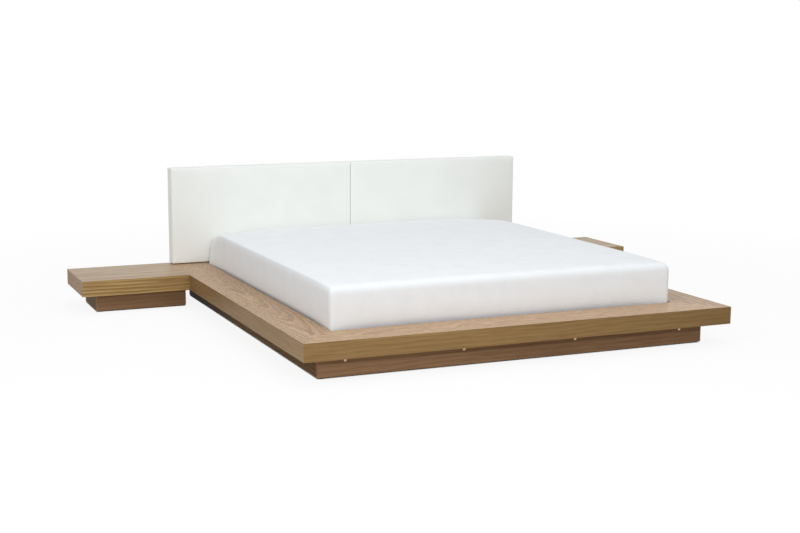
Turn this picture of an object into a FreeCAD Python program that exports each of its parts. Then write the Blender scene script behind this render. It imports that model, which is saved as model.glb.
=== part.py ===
import FreeCAD, Part
import os
import Sketcher

# Platform double bed with two nightstands, in millimetres.
# X runs across the bed, Y from the foot to the head and Z up.
# The origin is on the floor, in the middle of the bed's outline.

# Driving sizes, one cell of the sheet each
SIZES = {
    # Mattress and the sheet over it
    "mattress_width": 1800,
    "mattress_length": 2000,
    "mattress_height": 258,
    "mattress_crown": 14,
    "mattress_top_radius": 35,
    "mattress_base_edge": 25,
    "mattress_corner_radius": 20,
    "mattress_draw_in": 4,
    "mattress_padding": 20,
    "sheet_thickness": 1,
    # Room round the mattress in its recess
    "side_gap": 5,
    "foot_gap": 20,
    "head_gap": 2,
    # Hollow ledges
    "ledge_width": 205,
    "ledge_thickness": 85,
    "panel_thickness": 18,
    "underside_thickness": 9,
    # Plinth, glides and corner blocks
    "plinth_height": 100,
    "plinth_thickness": 22,
    "plinth_inset": 100,
    "head_plinth_inset": 60,
    "glide_height": 5,
    "glide_diameter": 16,
    "glide_inset": 24,
    "block_side": 60,
    "block_margin": 12,
    # Bearers under the slats, with their legs and bolts
    "bearer_width": 30,
    "bearer_height": 55,
    "bearer_inset": 130,
    "leg_side": 40,
    "bolt_diameter": 8,
    "bolt_head_diameter": 13,
    "bolt_head_height": 4,
    "headboard_bolt_reach": 50,
    "socket_width": 5,
    "hole_clearance": 0.4,
    "nut_side": 13,
    "nut_thickness": 7,
    "nut_end_distance": 30,
    # Slats and their straps
    "slat_width": 70,
    "slat_thickness": 18,
    "slat_edge_radius": 3,
    "slat_margin": 6,
    "strap_width": 25,
    "strap_thickness": 1,
    # Headboard
    "headboard_height": 554,
    "headboard_thickness": 85,
    "headboard_seam": 3,
    "pad_wrap": 14,
    "pad_depth": 30,
    "pad_crown": 6,
    "pad_edge_radius": 12,
    "pad_corner_radius": 8,
    "pad_back_radius": 2,
    "frame_rail": 60,
    "back_cover_thickness": 1,
    "spacer_height": 4,
    "spacer_side": 30,
    # Nightstands and the plates that join them to the bed
    "nightstand_width": 595,
    "nightstand_depth": 450,
    "nightstand_plinth_inset": 92,
    "nightstand_back_inset": 40,
    "plate_length": 120,
    "plate_width": 40,
    "plate_thickness": 3,
    # Room between a soft piece and what it meets
    "soft_gap": 0.3,
}

# Counts, and places given as shares of a length
BEARER_COUNT = 4
LEGS_PER_BEARER = 2
SLAT_COUNT = 14
STRAP_PLACE_SHARE = 0.25
SOCKET_DEPTH_SHARE = 0.6
HEADBOARD_BOLT_SHARES = (0.22, 0.78)
HEADBOARD_SPACER_SHARES = (0.05, 0.95)
PLATE_SHARES = (0.35, 0.75)
# Points of a quarter round, as inset and rise shares of its radius
ROUND_SHARES = ((0.0, 0.0), (0.134, 0.5), (0.5, 0.866), (1.0, 1.0))
# Crown of a cushion, as inset shares of its half width and rise shares of the crown
CROWN_SHARES = ((0.08, 0.6), (0.2, 1.0))

doc = FreeCAD.newDocument("DoubleBed")
sheet = doc.addObject("Spreadsheet::Sheet", "Sizes")
for row, (alias, number) in enumerate(SIZES.items(), start=1):
    sheet.set(f"A{row}", alias)
    sheet.set(f"B{row}", str(number))
    sheet.setAlias(f"B{row}", alias)
doc.recompute()


class Size:
    """A length that keeps the formula, in sheet cells, by which it is bound."""

    def __init__(self, formula, value):
        self.formula = formula
        self.value = value

    def __add__(self, other):
        other = as_size(other)
        return Size(f"({self.formula} + {other.formula})", self.value + other.value)

    def __sub__(self, other):
        other = as_size(other)
        return Size(f"({self.formula} - {other.formula})", self.value - other.value)

    def __mul__(self, factor):
        return Size(f"({self.formula} * {factor})", self.value * factor)

    def __truediv__(self, divisor):
        return Size(f"({self.formula} / {divisor})", self.value / divisor)

    def __neg__(self):
        return self * -1


def as_size(number):
    return number if isinstance(number, Size) else Size(str(number), number)


def size(alias):
    """The driving size in a cell of the sheet."""
    return Size(f"Sizes.{alias}", float(sheet.get(alias)))


def bind(feature, prop, length):
    feature.setExpression(prop, as_size(length).formula)


def place(feature, x, y, z):
    for axis, length in zip("xyz", (x, y, z)):
        bind(feature, f"Placement.Base.{axis}", length)


def box(label, low, high):
    """A square-cut piece between two opposite corners."""
    piece = doc.addObject("Part::Box", label)
    for prop, start, end in zip(("Length", "Width", "Height"), low, high):
        bind(piece, prop, end - start)
    place(piece, *low)
    return piece


AXIS_TURNS = {
    "z": FreeCAD.Rotation(),
    "y": FreeCAD.Rotation(FreeCAD.Vector(1, 0, 0), -90),
    "x": FreeCAD.Rotation(FreeCAD.Vector(0, 1, 0), 90),
}


def cylinder(label, axis, start, diameter, length):
    """A round bar that runs from start along an axis."""
    bar = doc.addObject("Part::Cylinder", label)
    bar.Placement = FreeCAD.Placement(FreeCAD.Vector(), AXIS_TURNS[axis])
    bind(bar, "Radius", diameter / 2)
    bind(bar, "Height", length)
    place(bar, *start)
    return bar


def group(label, pieces):
    """Several separate solids in one node."""
    node = doc.addObject("Part::Compound", label)
    node.Links = pieces
    return node


def cut(label, base, tools):
    """A piece with holes or hollows taken out of it."""
    tool = tools[0] if len(tools) == 1 else group(f"{label}_tools", tools)
    node = doc.addObject("Part::Cut", label)
    node.Base = base
    node.Tool = tool
    return node


def join(label, pieces):
    """One solid made of several forms."""
    node = doc.addObject("Part::MultiFuse", label)
    node.Shapes = pieces
    return node


def sketch_on(body, role, level):
    """A sketch on one of the body's own planes, at a level along the plane's normal."""
    sketch = body.newObject("Sketcher::SketchObject", f"{body.Label}_section")
    plane = [feature for feature in body.Origin.OriginFeatures if feature.Role == role][0]
    sketch.AttachmentSupport = [(plane, "")]
    sketch.MapMode = "FlatFace"
    bind(sketch, "AttachmentOffset.Base.z", level)
    return sketch


def constrain(sketch, constraint, length):
    index = sketch.addConstraint(constraint)
    sketch.setExpression(f"Constraints[{index}]", as_size(length).formula)


def pin_start(sketch, edge, across, up):
    """Hold the start of an edge at its place from the sketch's origin."""
    for kind, length in (("DistanceX", across), ("DistanceY", up)):
        constrain(sketch, Sketcher.Constraint(kind, -1, 1, edge, 1, length.value), length)


def close_loop(sketch, edge_count):
    for edge in range(edge_count):
        following = (edge + 1) % edge_count
        sketch.addConstraint(Sketcher.Constraint("Coincident", edge, 2, following, 1))


def flat_point(across, up):
    return FreeCAD.Vector(across.value, up.value, 0)


def polygon(sketch, points):
    """Straight edges round the points."""
    for index, point in enumerate(points):
        following = points[(index + 1) % len(points)]
        sketch.addGeometry(Part.LineSegment(flat_point(*point), flat_point(*following)), False)
    close_loop(sketch, len(points))
    for edge, point in enumerate(points):
        pin_start(sketch, edge, *point)


def rounded_rectangle(sketch, low, high, radius):
    """Four straight edges joined by quarter arcs of one radius."""
    (left, base), (right, top) = low, high
    ends = [
        (left + radius, base), (right - radius, base),
        (right, base + radius), (right, top - radius),
        (right - radius, top), (left + radius, top),
        (left, top - radius), (left, base + radius),
    ]
    near, far = left + radius, right - radius
    low_turn, high_turn = base + radius, top - radius
    centres = [(far, low_turn), (far, high_turn), (near, high_turn), (near, low_turn)]
    for side, centre in enumerate(centres):
        first, second = [flat_point(*end) for end in ends[2 * side:2 * side + 2]]
        third = flat_point(*ends[(2 * side + 2) % len(ends)])
        sketch.addGeometry(Part.LineSegment(first, second), False)
        hub = flat_point(*centre)
        middle = hub + (second + third - hub * 2).normalize() * radius.value
        sketch.addGeometry(Part.Arc(second, middle, third), False)
    close_loop(sketch, len(ends))
    for edge, point in enumerate(ends):
        pin_start(sketch, edge, *point)
    for side in range(len(centres)):
        constrain(sketch, Sketcher.Constraint("Radius", 2 * side + 1, radius.value), radius)


def loft(label, role, sections, draw):
    """A solid with straight sides through sections, each a level and what draw needs for its outline."""
    body = doc.addObject("PartDesign::Body", label)
    sketches = []
    for level, *outline in sections:
        sketch = sketch_on(body, role, level)
        draw(sketch, *outline)
        sketches.append(sketch)
    solid = body.newObject("PartDesign::AdditiveLoft", f"{label}_loft")
    solid.Profile = sketches[0]
    solid.Sections = sketches[1:]
    solid.Ruled = True
    body.Tip = solid
    return body


# Lengths that several pieces share
panel = size("panel_thickness")
ledge = size("ledge_width")
recess_half = size("mattress_width") / 2 + size("side_gap")
half_width = recess_half + ledge
headboard_depth = size("headboard_thickness")
overall_length = ledge + size("foot_gap") + size("mattress_length") + size("head_gap") + headboard_depth
foot_y = -overall_length / 2
head_y = overall_length / 2
headboard_y = head_y - headboard_depth
recess_foot_y = foot_y + ledge
plinth_base = size("glide_height")
ledge_base = plinth_base + size("plinth_height")
ledge_top = ledge_base + size("ledge_thickness")
board_base = ledge_top - panel
nightstand_y = head_y - size("nightstand_depth")
nightstand_half = half_width + size("nightstand_width")
plinth_half = half_width - size("plinth_inset")
plinth_foot_y = foot_y + size("plinth_inset")
plinth_head_y = head_y - size("head_plinth_inset")
plinth = size("plinth_thickness")
soft_gap = size("soft_gap")
hole_diameter = size("bolt_diameter") + size("hole_clearance") * 2
SIDES = (("left", -1), ("right", 1))

nodes = []


def keep(node):
    nodes.append(node)


def mirrored(sign, low, high):
    """Corners of a box drawn on the right-hand side, for either side of the bed."""
    if sign > 0:
        return low, high
    return (-high[0], low[1], low[2]), (-low[0], high[1], high[2])


def side_box(label, sign, low, high):
    return box(label, *mirrored(sign, low, high))


def face_corners(ends, top):
    """Corners of one face of an apron, from the underside of the ledge to top."""
    start, end = ends
    return [(start, ledge_base), (end, ledge_base), (end, top), (start, top)]


def apron_along_x(label, outer_y, inward, outer_ends, inner_ends):
    """A face board along X, folded to its top board and mitred or butted at each end."""
    inner_y = outer_y + panel * inward
    outer = (-outer_y, face_corners(outer_ends, ledge_top))
    inner = (-inner_y, face_corners(inner_ends, board_base))
    keep(loft(label, "XZ_Plane", [outer, inner], polygon))


def apron_along_y(label, sign, outer_x, outer_ends, inner_ends):
    """A face board along Y, folded to its top board and mitred at both ends."""
    outer = (outer_x * sign, face_corners(outer_ends, ledge_top))
    inner = ((outer_x - panel) * sign, face_corners(inner_ends, board_base))
    keep(loft(label, "YZ_Plane", [outer, inner], polygon))


def top_board(label, upper, lower, tools=()):
    """A ledge top whose outer edges are folded under to meet the aprons."""
    sections = [(ledge_top, upper), (board_base, lower)]
    if not tools:
        keep(loft(label, "XY_Plane", sections, polygon))
        return
    blank = loft(f"{label}_blank", "XY_Plane", sections, polygon)
    keep(cut(label, blank, list(tools)))


def ledge_tops():
    inner_edge = [(recess_half, recess_foot_y), (-recess_half, recess_foot_y)]
    upper = [(-half_width, foot_y), (half_width, foot_y)]
    lower = [(-half_width + panel, foot_y + panel), (half_width - panel, foot_y + panel)]
    top_board("foot_ledge_top", upper + inner_edge, lower + inner_edge)
    for side, sign in SIDES:
        upper = [
            (half_width * sign, foot_y), (recess_half * sign, recess_foot_y),
            (recess_half * sign, head_y), (half_width * sign, head_y),
        ]
        lower = [
            ((half_width - panel) * sign, foot_y + panel), (recess_half * sign, recess_foot_y),
            (recess_half * sign, head_y - panel), ((half_width - panel) * sign, head_y - panel),
        ]
        top_board(f"{side}_ledge_top", upper, lower)
    inner_edge = [(-recess_half, headboard_y), (recess_half, headboard_y)]
    upper = [(recess_half, head_y), (-recess_half, head_y)]
    lower = [(recess_half, head_y - panel), (-recess_half, head_y - panel)]
    holes = []
    for x in headboard_bolt_places():
        start = (x, headboard_bolt_y, board_base)
        holes.append(cylinder("head_ledge_hole", "z", start, hole_diameter, panel))
    top_board("head_ledge_top", inner_edge + upper, inner_edge + lower, holes)


def ledge_aprons():
    full = (-half_width, half_width)
    short = (-half_width + panel, half_width - panel)
    apron_along_x("foot_apron", foot_y, 1, full, short)
    apron_along_x("head_apron", head_y, -1, full, short)
    for side, sign in SIDES:
        apron_along_y(f"{side}_apron", sign, half_width, (foot_y, head_y), (foot_y + panel, head_y - panel))


def recess_rails():
    """Inner walls of the ledges, which the mattress sits between."""
    inner_y = recess_foot_y - panel
    for end, start_y in (("foot", inner_y), ("head", headboard_y)):
        low = (-recess_half, start_y, ledge_base)
        keep(box(f"{end}_recess_rail", low, (recess_half, start_y + panel, board_base)))
    for side, sign in SIDES:
        low = (recess_half, inner_y, ledge_base)
        high = (recess_half + panel, head_y - panel, board_base)
        keep(side_box(f"{side}_recess_rail", sign, low, high))


def ledge_undersides():
    inner_y = recess_foot_y - panel
    top = ledge_base + size("underside_thickness")
    outer = half_width - panel
    keep(box("foot_underside", (-outer, foot_y + panel, ledge_base), (outer, inner_y, top)))
    for side, sign in SIDES:
        low = (recess_half + panel, inner_y, ledge_base)
        keep(side_box(f"{side}_underside", sign, low, (outer, head_y - panel, top)))


def bearer_places():
    """Middle of each bearer across the bed."""
    outer = plinth_half - size("bearer_inset")
    return [outer * (2 * index / (BEARER_COUNT - 1) - 1) for index in range(BEARER_COUNT)]


bolt_z = ledge_base - size("bearer_height") / 2
bearer_start_y = plinth_foot_y + plinth
bearer_end_y = plinth_head_y - plinth


def bearer_ends():
    """Foot and head ends of the bearers: the plinth's outer face, the bearer's end and the way in."""
    return (plinth_foot_y, bearer_start_y, 1), (plinth_head_y, bearer_end_y, -1)


def along(start, inward, length):
    """Low end of a run of this length that goes inward from start."""
    return start if inward > 0 else start - length


def plinth_boards():
    for end, low_y in (("foot", plinth_foot_y), ("head", bearer_end_y)):
        label = f"{end}_plinth_board"
        low = (-plinth_half, low_y, plinth_base)
        blank = box(f"{label}_blank", low, (plinth_half, low_y + plinth, ledge_base))
        holes = []
        for x in bearer_places():
            holes.append(cylinder(f"{label}_hole", "y", (x, low_y, bolt_z), hole_diameter, plinth))
        keep(cut(label, blank, holes))
    for side, sign in SIDES:
        low = (plinth_half - plinth, bearer_start_y, plinth_base)
        keep(side_box(f"{side}_plinth_board", sign, low, (plinth_half, bearer_end_y, ledge_base)))


def corner_blocks():
    block = size("block_side")
    margin = size("block_margin")
    inner = plinth_half - plinth
    blocks = []
    for side, sign in SIDES:
        for outer_y, start_y, inward in bearer_ends():
            low_y = along(start_y, inward, block)
            low = (inner - block, low_y, plinth_base + margin)
            high = (inner, low_y + block, ledge_base - margin)
            blocks.append(side_box("corner_block", sign, low, high))
    keep(group("plinth_corner_blocks", blocks))


def nut_corners(x, start_y, inward, room):
    """Corners of a nut in the end of a bearer, with room all round it."""
    half = size("nut_side") / 2 + room
    thickness = size("nut_thickness")
    low_y = along(start_y + size("nut_end_distance") * inward, inward, thickness)
    return (x - half, low_y - room, bolt_z - half), (x + half, low_y + thickness + room, bolt_z + half)


def bearers():
    """Long rails with a bolt bore in each end, and a mortise there that is open to one side for the nut."""
    width = size("bearer_width")
    low_z = ledge_base - size("bearer_height")
    for number, x in enumerate(bearer_places(), start=1):
        low = (x - width / 2, bearer_start_y, low_z)
        blank = box(f"bearer_{number}_blank", low, (x + width / 2, bearer_end_y, ledge_base))
        bores = []
        for outer_y, start_y, inward in bearer_ends():
            low_y = along(start_y, inward, size("nut_end_distance"))
            start = (x, low_y, bolt_z)
            bores.append(cylinder("bolt_bore", "y", start, hole_diameter, size("nut_end_distance")))
            low, high = nut_corners(x, start_y, inward, size("hole_clearance"))
            bores.append(box("nut_mortise", low, (x + width / 2, high[1], high[2])))
        keep(cut(f"bearer_{number}", blank, bores))


def bearer_legs():
    run = bearer_end_y - bearer_start_y
    height = ledge_base - size("bearer_height")
    half = size("leg_side") / 2
    floor = as_size(0)
    legs = []
    for x in bearer_places():
        for step in range(1, LEGS_PER_BEARER + 1):
            y = bearer_start_y + run * (step / (LEGS_PER_BEARER + 1))
            legs.append(box("bearer_leg", (x - half, y - half, floor), (x + half, y + half, height)))
    keep(group("bearer_legs", legs))


def socket_bolt(label, axis, seat, inward, grip):
    """A flat-headed bolt with a square driver recess, its head on the seat and its shank inward."""
    spot = dict(zip("xyz", seat))
    level = spot[axis]
    head_height = size("bolt_head_height")
    across = size("socket_width")

    def start(low):
        return tuple(low if name == axis else spot[name] for name in "xyz")

    head_low = along(level, -inward, head_height)
    head = cylinder(f"{label}_head", axis, start(head_low), size("bolt_head_diameter"), head_height)
    shank = cylinder(f"{label}_shank", axis, start(along(level, inward, grip)), size("bolt_diameter"), grip)
    deep = head_height * SOCKET_DEPTH_SHARE
    recess_low = along(level - head_height * inward, inward, deep)
    low = tuple(recess_low if name == axis else spot[name] - across / 2 for name in "xyz")
    high = tuple(recess_low + deep if name == axis else spot[name] + across / 2 for name in "xyz")
    return cut(label, join(f"{label}_blank", [head, shank]), [box(f"{label}_recess", low, high)])


def plinth_bolts():
    bolts = []
    for x in bearer_places():
        for outer_y, start_y, inward in bearer_ends():
            grip = plinth + size("nut_end_distance") + size("nut_thickness")
            bolts.append(socket_bolt("plinth_bolt", "y", (x, outer_y, bolt_z), inward, grip))
    keep(group("plinth_bolts", bolts))


def bolt_nuts():
    nuts = []
    for x in bearer_places():
        for outer_y, start_y, inward in bearer_ends():
            low, high = nut_corners(x, start_y, inward, as_size(0))
            blank = box("bolt_nut_blank", low, high)
            start = (x, low[1], bolt_z)
            bore = cylinder("bolt_nut_bore", "y", start, hole_diameter, size("nut_thickness"))
            nuts.append(cut("bolt_nut", blank, [bore]))
    keep(group("bolt_nuts", nuts))


slat_half = recess_half - size("slat_margin")
slat_top = ledge_base + size("slat_thickness")
slat_start_y = recess_foot_y + size("slat_margin")
slat_end_y = headboard_y - size("slat_margin")


def slats():
    """Flat slats at an even pitch across the bearers, with their long top edges eased."""
    width = size("slat_width")
    pitch = (slat_end_y - slat_start_y - width) / (SLAT_COUNT - 1)
    radius = size("slat_edge_radius")
    set_of_slats = []
    for index in range(SLAT_COUNT):
        body = doc.addObject("PartDesign::Body", "slat")
        start = slat_start_y + pitch * index
        corners = [
            (start, ledge_base), (start + width, ledge_base),
            (start + width, slat_top - radius), (start + width - radius, slat_top),
            (start + radius, slat_top), (start, slat_top - radius),
        ]
        section = sketch_on(body, "YZ_Plane", -slat_half)
        polygon(section, corners)
        pad = body.newObject("PartDesign::Pad", "slat_pad")
        pad.Profile = section
        bind(pad, "Length", slat_half * 2)
        body.Tip = pad
        set_of_slats.append(body)
    keep(group("slats", set_of_slats))


def slat_straps():
    width = size("strap_width")
    straps = []
    for sign in (-1, 1):
        x = slat_half * (2 * STRAP_PLACE_SHARE * sign)
        low = (x - width / 2, slat_start_y, slat_top)
        high = (x + width / 2, slat_end_y, slat_top + size("strap_thickness"))
        straps.append(box("slat_strap", low, high))
    keep(group("slat_straps", straps))


mattress_base = slat_top + size("strap_thickness") + soft_gap
mattress_foot_y = recess_foot_y + size("foot_gap")


def mattress_profile(grow, with_base):
    """Height and inset of each section of the mattress, from its base or its side up, grown by a skin."""
    base_edge = size("mattress_base_edge")
    top_radius = size("mattress_top_radius")
    top = mattress_base + size("mattress_height")
    profile = [(mattress_base, base_edge)] if with_base else []
    profile.append((mattress_base + base_edge, as_size(0)))
    profile.append((mattress_base + size("mattress_height") / 2, size("mattress_draw_in")))
    for inset, rise in ROUND_SHARES:
        profile.append((top - top_radius + top_radius * rise + grow * rise, top_radius * inset))
    half = size("mattress_width") / 2
    for inset, rise in CROWN_SHARES:
        height = top + size("mattress_crown") * rise + grow
        profile.append((height, top_radius + (half - top_radius) * inset))
    return [(height, inset - grow) for height, inset in profile]


def mattress_form(label, grow, with_base):
    """A crowned slab with rounded edges and sides drawn in at half height."""
    half = size("mattress_width") / 2
    end_y = mattress_foot_y + size("mattress_length")
    sections = []
    for height, inset in mattress_profile(grow, with_base):
        low = (-half + inset, mattress_foot_y + inset)
        high = (half - inset, end_y - inset)
        sections.append((height, low, high, size("mattress_corner_radius")))
    return loft(label, "XY_Plane", sections, rounded_rectangle)


def bedding():
    """The quilted mattress, hollow where its springs are, and the sheet fitted over it."""
    padding = size("mattress_padding")
    half = size("mattress_width") / 2 - padding
    low = (-half, mattress_foot_y + padding, mattress_base + padding)
    end_y = mattress_foot_y + size("mattress_length") - padding
    hollow = box("mattress_hollow", low, (half, end_y, mattress_base + size("mattress_height") - padding))
    keep(cut("mattress", mattress_form("mattress_form", as_size(0), True), [hollow]))
    outer = mattress_form("sheet_outside", soft_gap + size("sheet_thickness"), False)
    inner = mattress_form("sheet_inside", soft_gap, True)
    keep(cut("fitted_sheet", outer, [inner]))


headboard_base = ledge_top + size("spacer_height")
headboard_top = headboard_base + size("headboard_height")
frame_front_y = headboard_y + size("pad_depth")
frame_back_y = head_y - size("back_cover_thickness")
headboard_bolt_y = (headboard_y + head_y) / 2


def panel_ends(sign):
    """Inner and outer ends of a headboard panel, from low X to high X."""
    inner = size("headboard_seam") / 2
    return (inner, half_width) if sign > 0 else (-half_width, -inner)


def panel_places(sign, shares):
    """X of what holds one headboard panel."""
    low_x, high_x = panel_ends(sign)
    return [low_x + (high_x - low_x) * share for share in shares]


def headboard_bolt_places():
    return [x for side, sign in SIDES for x in panel_places(sign, HEADBOARD_BOLT_SHARES)]


def pad_form(label, sign):
    """A padded panel, square at the back and crowned in front with a rounded edge."""
    low_x, high_x = panel_ends(sign)
    radius = size("pad_edge_radius")
    crown = size("pad_crown")
    half = size("headboard_height") / 2
    edge_y = headboard_y + crown
    profile = [(head_y, size("pad_back_radius")), (head_y - size("pad_back_radius"), as_size(0))]
    profile += [(edge_y + radius - radius * rise, radius * inset) for inset, rise in ROUND_SHARES]
    profile += [(edge_y - crown * rise, radius + (half - radius) * inset) for inset, rise in CROWN_SHARES]
    sections = []
    for level, inset in profile:
        low = (low_x + inset, headboard_base + inset)
        high = (high_x - inset, headboard_top - inset)
        sections.append((-level, low, high, size("pad_corner_radius")))
    return loft(label, "XZ_Plane", sections, rounded_rectangle)


def headboard():
    """Two panels, each a frame with padding over its front, top and ends, and a cloth over its back."""
    wrap = size("pad_wrap")
    rail = size("frame_rail")
    frame_top = headboard_top - wrap
    back_covers = []
    for side, sign in SIDES:
        low_x, high_x = panel_ends(sign)
        frame_low, frame_high = low_x + wrap, high_x - wrap

        label = f"{side}_headboard_pad"
        low = (frame_low - soft_gap, frame_front_y - soft_gap, headboard_base)
        pocket = box(f"{label}_pocket", low, (frame_high + soft_gap, head_y, frame_top + soft_gap))
        keep(cut(label, pad_form(f"{label}_form", sign), [pocket]))

        label = f"{side}_headboard_frame"
        low = (frame_low, frame_front_y, headboard_base)
        blank = box(f"{label}_blank", low, (frame_high, frame_back_y, frame_top))
        middle = (frame_low + frame_high) / 2
        tools = []
        for start, end in ((frame_low + rail, middle - rail / 2), (middle + rail / 2, frame_high - rail)):
            low = (start, frame_front_y, headboard_base + rail)
            tools.append(box(f"{label}_window", low, (end, frame_back_y, frame_top - rail)))
        for x in panel_places(sign, HEADBOARD_BOLT_SHARES):
            start = (x, headboard_bolt_y, headboard_base)
            tools.append(cylinder(f"{label}_hole", "z", start, hole_diameter, size("headboard_bolt_reach")))
        keep(cut(label, blank, tools))

        low = (frame_low, frame_back_y, headboard_base)
        back_covers.append(box("headboard_back_cover", low, (frame_high, head_y, frame_top)))
    keep(group("headboard_back_covers", back_covers))


def headboard_fixings():
    """Bolts up through the head ledge, and rubber feet that keep the panels just clear of it."""
    grip = panel + size("spacer_height") + size("headboard_bolt_reach") - size("hole_clearance")
    half = size("spacer_side") / 2
    bolts = []
    for x in headboard_bolt_places():
        seat = (x, headboard_bolt_y, board_base)
        bolts.append(socket_bolt("headboard_bolt", "z", seat, 1, grip))
    spacers = []
    for side, sign in SIDES:
        for x in panel_places(sign, HEADBOARD_SPACER_SHARES):
            low = (x - half, headboard_bolt_y - half, ledge_top)
            spacers.append(box("headboard_spacer", low, (x + half, headboard_bolt_y + half, headboard_base)))
    keep(group("headboard_bolts", bolts))
    keep(group("headboard_spacers", spacers))


def nightstand(side, sign):
    """A hollow slab level with the ledge, on a three-sided plinth of its own."""
    inner_x, outer_x = half_width, nightstand_half

    def corners(inset):
        front, back = nightstand_y + inset, head_y - inset
        far = outer_x - inset
        return [(inner_x * sign, front), (far * sign, front), (far * sign, back), (inner_x * sign, back)]

    def ends(inset):
        pair = (inner_x * sign, (outer_x - inset) * sign)
        return pair if sign > 0 else pair[::-1]

    none = as_size(0)
    top_board(f"{side}_nightstand_top", corners(none), corners(panel))
    apron_along_x(f"{side}_nightstand_front", nightstand_y, 1, ends(none), ends(panel))
    apron_along_x(f"{side}_nightstand_back", head_y, -1, ends(none), ends(panel))
    front_y, back_y = nightstand_y + panel, head_y - panel
    apron_along_y(f"{side}_nightstand_end", sign, outer_x, (nightstand_y, head_y), (front_y, back_y))
    low = (inner_x, front_y, ledge_base)
    keep(side_box(f"{side}_nightstand_inner_board", sign, low, (inner_x + panel, back_y, board_base)))
    low = (inner_x + panel, front_y, ledge_base)
    high = (outer_x - panel, back_y, ledge_base + size("underside_thickness"))
    keep(side_box(f"{side}_nightstand_underside", sign, low, high))

    plinth_x = outer_x - size("nightstand_plinth_inset")
    plinth_y = nightstand_y + size("nightstand_plinth_inset")
    plinth_back = head_y - size("nightstand_back_inset")
    low = (inner_x, plinth_y, plinth_base)
    keep(side_box(f"{side}_nightstand_plinth_front", sign, low, (plinth_x, plinth_y + plinth, ledge_base)))
    low = (inner_x, plinth_back - plinth, plinth_base)
    keep(side_box(f"{side}_nightstand_plinth_back", sign, low, (plinth_x, plinth_back, ledge_base)))
    low = (plinth_x - plinth, plinth_y + plinth, plinth_base)
    keep(side_box(f"{side}_nightstand_plinth_end", sign, low, (plinth_x, plinth_back - plinth, ledge_base)))


def glide_places():
    """Middle of each glide, under the plinth boards of the bed and of the nightstands."""
    inset = size("glide_inset")
    places = []
    for side, sign in SIDES:
        for y in (plinth_foot_y + plinth / 2, plinth_head_y - plinth / 2):
            places.append(((plinth_half - inset) * sign, y))
        front_y = nightstand_y + size("nightstand_plinth_inset") + plinth / 2
        back_y = head_y - size("nightstand_back_inset") - plinth / 2
        for y in (front_y, back_y):
            for x in (half_width + inset, nightstand_half - size("nightstand_plinth_inset") - inset):
                places.append((x * sign, y))
    return places


def glides():
    floor = as_size(0)
    diameter = size("glide_diameter")
    buttons = [cylinder("glide", "z", (x, y, floor), diameter, plinth_base) for x, y in glide_places()]
    keep(group("glides", buttons))


def joining_plates():
    """Flat plates under the seam between the bed and each nightstand."""
    reach = size("plate_length") / 2
    width = size("plate_width")
    plates = []
    for side, sign in SIDES:
        for share in PLATE_SHARES:
            y = nightstand_y + size("nightstand_depth") * share
            low = (half_width - reach, y - width / 2, ledge_base - size("plate_thickness"))
            high = (half_width + reach, y + width / 2, ledge_base)
            plates.append(side_box("joining_plate", sign, low, high))
    keep(group("joining_plates", plates))


ledge_tops()
ledge_aprons()
recess_rails()
ledge_undersides()
plinth_boards()
corner_blocks()
bearers()
bearer_legs()
plinth_bolts()
bolt_nuts()
slats()
slat_straps()
bedding()
headboard()
headboard_fixings()
for side_name, side_sign in SIDES:
    nightstand(side_name, side_sign)
glides()
joining_plates()
doc.recompute()

for feature in doc.Objects:
    if "Invalid" in feature.State or "Error" in feature.State:
        raise RuntimeError(f"{feature.Label} failed: {feature.State}")
for node in nodes:
    if node.Shape.isNull() or not node.Shape.isValid():
        raise RuntimeError(f"{node.Label} has no valid shape")

os.makedirs("parts", exist_ok=True)
for node in nodes:
    node.Shape.exportStep(os.path.join("parts", f"{node.Label}.step"))
    print(f"{node.Label}: {len(node.Shape.Solids)} solids, {node.Shape.Volume:.0f} mm3")
print(f"{len(nodes)} nodes")
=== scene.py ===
import math

import bpy
import numpy as np
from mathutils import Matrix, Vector, noise


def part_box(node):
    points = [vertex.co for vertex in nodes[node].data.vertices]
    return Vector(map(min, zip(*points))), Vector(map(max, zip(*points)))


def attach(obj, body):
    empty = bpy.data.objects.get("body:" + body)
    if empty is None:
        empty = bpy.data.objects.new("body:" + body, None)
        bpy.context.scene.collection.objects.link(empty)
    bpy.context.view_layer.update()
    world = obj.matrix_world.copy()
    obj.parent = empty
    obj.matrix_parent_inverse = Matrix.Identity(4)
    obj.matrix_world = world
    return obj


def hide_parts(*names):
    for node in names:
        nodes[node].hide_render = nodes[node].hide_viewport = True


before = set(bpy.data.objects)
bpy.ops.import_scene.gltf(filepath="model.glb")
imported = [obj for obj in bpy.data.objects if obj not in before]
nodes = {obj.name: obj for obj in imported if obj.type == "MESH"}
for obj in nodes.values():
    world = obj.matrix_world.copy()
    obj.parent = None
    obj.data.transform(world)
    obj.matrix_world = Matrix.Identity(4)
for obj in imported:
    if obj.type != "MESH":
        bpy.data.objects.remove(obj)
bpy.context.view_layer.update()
scene = bpy.context.scene

# Lengths are in metres, in the part's own frame
BED, BEDDING = "bed_frame", "mattress"
MM = 0.001
TINY = 1e-9


def linear(red, green, blue):
    """A colour written in steps from 0 to 255, as the shader wants it."""
    shares = [step / 255 for step in (red, green, blue)]
    curved = [s / 12.92 if s <= 0.04045 else ((s + 0.055) / 1.055) ** 2.4 for s in shares]
    return (*curved, 1.0)


# Sockets of the node that mixes colours
MIX_SHARE, MIX_FIRST, MIX_SECOND, MIX_COLOUR = 0, 6, 7, 2


def add_node(tree, kind, inputs, **settings):
    """A new shader node with its settings, and with its inputs set or linked."""
    node = tree.nodes.new(kind)
    for key, value in settings.items():
        setattr(node, key, value)
    for key, value in inputs.items():
        if isinstance(value, bpy.types.NodeSocket):
            tree.links.new(value, node.inputs[key])
        else:
            node.inputs[key].default_value = value
    return node


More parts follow.
